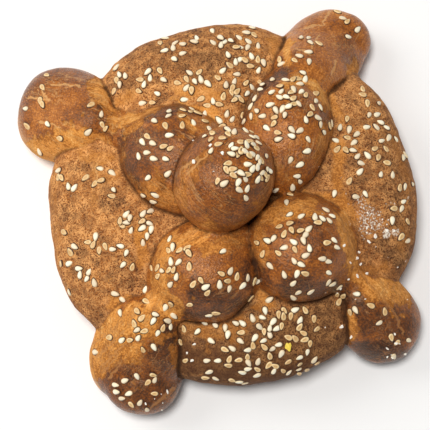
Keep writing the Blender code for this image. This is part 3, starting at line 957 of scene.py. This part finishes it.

# Patches of seeds, as (x, y, how many): the middle in mm from the loaf's axis.
SPRINKLE = (
    # The loaf's back.
    (-23, 54, 8), (1, 53, 12), (12, 50, 8), (-41, 43, 6), (-30, 40, 10), (-15, 40, 10), (1, 40, 14),
    (-6, 30, 10), (-9, 58, 5), (8, 61, 4),
    # Its left.
    (-57, 8, 6), (-47, 3, 6), (-35, -12, 12), (-51, -18, 6), (-60, -19, 4), (-40, -24, 5), (-53, -32, 6),
    (-36, -38, 6), (-29, -5, 5),
    # Its front.
    (-6, -47, 6), (3, -50, 8), (13, -44, 12), (24, -47, 8), (11, -54, 10), (1, -57, 6), (-13, -54, 3),
    (24, -54, 6), (-4, -62, 5), (15, -64, 4), (28, -60, 4), (8, -68, 4), (22, -66, 4), (-4, -67, 3),
    # Its right.
    (48, 34, 6), (42, 24, 6), (42, 16, 3), (46, 14, 8), (52, 22, 5), (59, 17, 4), (42, 3, 4), (57, 11, 3),
    (60, -7, 4), (66, 5, 3), (64, -13, 3),
    # The back left bone.
    (-24, 22, 6), (-17, 26, 6), (-25, 8, 6), (-28, 13, 5), (-43, 28, 3), (-69, 43, 2), (-53, 29, 2),
    (-74, 34, 3), (-72, 25, 3), (-67, 17, 1),
    # The back right one.
    (11, 35, 8), (6, 29, 7), (9, 23, 4), (15, -2, 3), (24, 3, 3), (22, 36, 12), (27, 30, 8), (18, 22, 10),
    (33, 25, 5), (24, 14, 4), (27, 61, 4), (41, 68, 5), (26, 47, 5),
    # The front right one.
    (15, -19, 8), (23, -14, 10), (32, -14, 5), (23, -24, 6), (32, -22, 4), (23, -32, 6), (36, -27, 4),
    (13, -33, 2), (39, -33, 5), (45, -38, 3), (52, -41, 2), (60, -52, 4),
    # The front left one.
    (-22, -26, 9), (-15, -28, 5), (-10, -35, 3), (-22, -23, 4), (-3, -28, 5), (3, -34, 5), (-18, -36, 3),
    (-27, -45, 8), (-22, -47, 3), (-33, -50, 6), (-44, -51, 2), (-29, -60, 3), (-33, -67, 4), (-38, -71, 5),
    (-30, -76, 2),
    # The ball.
    (3, 13, 16), (8, 7, 14), (4, 3, 12), (-11, 13, 4), (-4, 18, 4), (-1, -5, 4),
)
PATCH_REACH = 6.8 * MM
SEED_SIDES = 14
# The seed's rings from the top down, as (share of the outline, height over half the thickness, how much of
# the rim's colour): a plump seed, and one with a dented middle.
PLUMP = (
    (0, 1, 0), (0.30, 0.98, 0), (0.58, 0.92, 0.1), (0.80, 0.74, 0.5), (0.94, 0.40, 1),
    (1, 0, 1),
)
DENTED = (
    (0, 0.5, 0.2), (0.36, 0.58, 0), (0.62, 0.84, 0.6), (0.80, 0.78, 1), (0.94, 0.42, 0.8),
    (1, 0, 0.6),
)
# Below them the rim round it, egg wash with painted contact shadow, as (share of its rim, height over half
# the thickness).
WASH_SHADOW_RINGS = ((0.15, -0.1), (0.45, -0.2), (1, -0.55), (0.5, -1.4))


def seed_ring(reach, rim, height):
    """A ring of points: a drop, pointed towards +x, at a share of its outline and a rim outside it."""
    for k in range(SEED_SIDES):
        turn = math.tau * k / SEED_SIDES
        x, y = math.cos(turn), math.sin(turn)
        width = SEED_WIDTH * (1 - SEED_TAPER * x)
        across = y * (reach * width / 2 + rim)
        yield x * (reach * SEED_LENGTH / 2 + rim), across, height * SEED_THICKNESS / 2


def seed_shape(dented):
    """One seed with its rim of egg wash and painted shadow: points, faces, and how much of the rim's colour
    and the wash's.
    """
    seed = DENTED if dented else PLUMP
    rows = [(reach, 0.0, height, near_edge, 0.0) for reach, height, near_edge in seed]
    rows += [(1.0, share * WASH_SHADOW_RIM, height, 0.0, 1.0) for share, height in WASH_SHADOW_RINGS]
    rows.append((0.0, 0.0, WASH_SHADOW_RINGS[-1][1], 0.0, 1.0))
    points, edge, wash, rings = [], [], [], []
    for reach, rim, height, near_edge, washed in rows:
        sides = SEED_SIDES if reach else 1
        rings.append([len(points) + k % sides for k in range(SEED_SIDES + 1)])
        points += list(seed_ring(reach, rim, height))[:sides]
        edge += [near_edge] * sides
        wash += [washed] * sides
    faces = []
    for upper, lower in zip(rings, rings[1:]):
        for k in range(SEED_SIDES):
            corners = (upper[k], lower[k], lower[k + 1], upper[k + 1])
            faces.append(tuple(dict.fromkeys(corners)))
    return np.array(points), faces, np.array(edge), np.array(wash)


def scattered(tree, patches, spacing, draw):
    """Where bits lie, as (point, normal, whether partly on another): random in each patch."""
    places = []
    for x, y, wanted in patches:
        apart = HEAPED_SPACING if wanted >= HEAPED else spacing
        for _ in range(SEED_TRIES * wanted):
            if not wanted:
                break
            reach = PATCH_REACH * math.sqrt(draw.random())
            angle = draw.uniform(0, math.tau)
            right, away = reach * math.cos(angle), reach * math.sin(angle)
            start = Vector((x * MM + right, y * MM + away, HIGH_UP))
            point, normal, _, _ = tree.ray_cast(start + AXIS_SHIFT, DOWN)
            if point is None or normal.z < STEEPEST:
                continue
            near = min(((point - other).length for other, _, _ in places), default=1)
            if near > apart:
                places.append((point, normal, near < SEED_TOUCH))
                wanted -= 1
    return places


def seeds_object(name, places, dented, draw):
    shape, shape_faces, shape_edge, shape_wash_and_shadow = seed_shape(dented)
    points, faces, tones = [], [], []
    for i, (point, normal, on_top) in enumerate(places):
        turn = Matrix.Rotation(draw.uniform(0, math.tau), 4, "Z")
        tilt = Matrix.Rotation(draw.uniform(-SEED_TILT, SEED_TILT) * (2 if on_top else 1), 4, "Y")
        size = draw.uniform(*SEED_SIZES)
        upright = normal.to_track_quat("Z", "Y").to_matrix().to_4x4()
        lift = SEED_THICKNESS * (SEED_LIFT_ON_TOP if on_top else SEED_LIFT)
        matrix = Matrix.Translation(point + normal * lift) @ upright @ turn @ tilt @ Matrix.Scale(size, 4)
        placed = shape @ np.array(matrix.to_3x3()).T + np.array(matrix.translation)
        points.append(placed)
        faces += [tuple(corner + i * len(shape) for corner in face) for face in shape_faces]
        tones += [draw.random()] * len(shape)
    mesh = bpy.data.meshes.new(name)
    mesh.from_pydata(np.concatenate(points).tolist(), [], faces)
    write(mesh, "tone", tones)
    write(mesh, "edge", np.tile(shape_edge, len(places)))
    write(mesh, "wash", np.tile(shape_wash_and_shadow, len(places)))
    mesh.shade_smooth()
    return add_object(name, mesh)


# Patches of white crumbs, as those of the seeds.
CRUMBS = (
    (43, -25, 6), (44, -35, 6), (59, -55, 8), (-26, -75, 6), (-17, -56, 3), (52, -12, 12), (-12, 12, 3),
    (36, -50, 3), (-4, 4, 3), (62, -30, 2),
)
CRUMB_SPACING = 0.9 * MM
CRUMB_SIZES = (0.2 * MM, 0.8 * MM)
CRUMB_COLOUR = (250, 244, 230)
YELLOW_CRUMB = Vector((19.6 * MM, -54 * MM, HIGH_UP))  # right above it
YELLOW_SIZES = (1.2 * MM, 1.3 * MM)
YELLOW_COLOUR = (244, 214, 84)
CRUMB_KNOBBLES = 0.8  # how uneven it is, in shares of its size
CRUMB_FLATTEST = (0.45, 0.4)  # its width and height over its length, at the least
CRUMB_FULLEST = (0.9, 0.7)  # and at the most
CRUMB_LIFT = 0.4  # how far its middle is above the crust, in sizes
CRUMB_ROUGHNESS = 0.7


def crumbs_object(name, places, sizes, draw):
    work = bmesh.new()
    for point, normal, _ in places:
        size = draw.uniform(*sizes)
        made = bmesh.ops.create_icosphere(work, subdivisions=2, radius=1)["verts"]
        shift = Vector(draw.random() * 90 for _ in range(3))
        stretch = Vector((1.0, *(draw.uniform(*ends) for ends in zip(CRUMB_FLATTEST, CRUMB_FULLEST))))
        turn = Matrix.Rotation(draw.uniform(0, math.tau), 3, "Z")
        for vertex in made:
            vertex.co *= 1 + CRUMB_KNOBBLES * noise.noise(vertex.co * 1.3 + shift)
            vertex.co = turn @ (vertex.co * stretch)
            vertex.co = point + normal * size * CRUMB_LIFT + vertex.co * size
    return add_object(name, mesh_from(work, name))


def belongs(thing):
    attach(thing, "root")


crust = crust_object()
crust.data.materials.append(crust_material())
belongs(crust)
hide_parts("pan_de_muerto")

draw = random.Random(SEED_DRAW)
crust_tree = tree_of(crust.data)
places = scattered(crust_tree, SPRINKLE, SEED_SPACING, random.Random(SEED_DRAW))
pale = [draw.random() < PALE_SHARE for _ in places]
for name, dented, middle, rim in SEED_KINDS:
    chosen = [place for place, is_pale in zip(places, pale) if is_pale != dented]
    seeds = seeds_object(name, chosen, dented, draw)
    seeds.data.materials.append(sesame_material(name, middle, rim))
    belongs(seeds)

crumb_places = scattered(crust_tree, CRUMBS, CRUMB_SPACING, draw)
yellow_place = crust_tree.ray_cast(YELLOW_CRUMB + AXIS_SHIFT, DOWN)[:3]
for name, bits, sizes, colour in (
    ("crumbs", crumb_places, CRUMB_SIZES, CRUMB_COLOUR),
    ("yellow_crumb", [yellow_place], YELLOW_SIZES, YELLOW_COLOUR),
):
    crumbs = crumbs_object(name, bits, sizes, draw)
    crumbs.data.materials.append(plain_material(name, linear(colour), CRUMB_ROUGHNESS))
    belongs(crumbs)


# The studio: a pale floor, a soft key light from the upper left, and even light all round.

MM_PER_PIXEL = 0.365 * MM
PICTURE_SIDE = 430
CAMERA_RISE = math.radians(80)
CAMERA_AWAY = 600 * MM
CAMERA_TARGET = Vector((-6.2 * MM, -5 * MM, 20 * MM)) + AXIS_SHIFT
SENSOR = 36
FLOOR_SIDE = 6.0
FLOOR_COLOUR = (0.94, 0.94, 0.94, 1.0)
FLOOR_ROUGHNESS = 0.8
WORLD_COLOUR = (1.0, 1.0, 1.0, 1.0)
WORLD_STRENGTH = 0.22
LIGHT_COLOUR = (1.0, 0.985, 0.96)
LIGHT_TARGET = Vector((0, 0, 30 * MM))
# Name, place and size in metres, and power.
LIGHTS = (("key", (-0.92, 0.42, 0.85), 0.85, 6.1), ("overhead", (-0.15, 0.0, 1.3), 0.35, 12.0))


def studio():
    bpy.ops.mesh.primitive_plane_add(size=FLOOR_SIDE)
    floor = bpy.context.object
    floor.name = "floor"
    floor.data.materials.append(plain_material("floor", FLOOR_COLOUR, FLOOR_ROUGHNESS))
    for name, place, size, energy in LIGHTS:
        light = bpy.data.lights.new(name, "AREA")
        light.shape = "DISK"
        light.size = size
        light.energy = energy
        light.color = LIGHT_COLOUR
        lamp = add_object(name, light)
        lamp.location = place
        lamp.rotation_euler = (LIGHT_TARGET - lamp.location).to_track_quat("-Z", "Y").to_euler()
    world = bpy.data.worlds.new("studio")
    world.use_nodes = True
    background = world.node_tree.nodes["Background"]
    background.inputs["Color"].default_value = WORLD_COLOUR
    background.inputs["Strength"].default_value = WORLD_STRENGTH
    bpy.context.scene.world = world
    bpy.context.scene.view_settings.view_transform = "Standard"


def camera():
    data = bpy.data.cameras.new("camera")
    data.sensor_width = SENSOR
    data.lens = SENSOR * CAMERA_AWAY / (PICTURE_SIDE * MM_PER_PIXEL)
    thing = add_object("camera", data)
    back = Vector((0, -math.cos(CAMERA_RISE), math.sin(CAMERA_RISE)))
    thing.location = CAMERA_TARGET + back * CAMERA_AWAY
    thing.rotation_mode = "QUATERNION"
    thing.rotation_quaternion = (-back).to_track_quat("-Z", "Y")
    bpy.context.scene.camera = thing


studio()
camera()
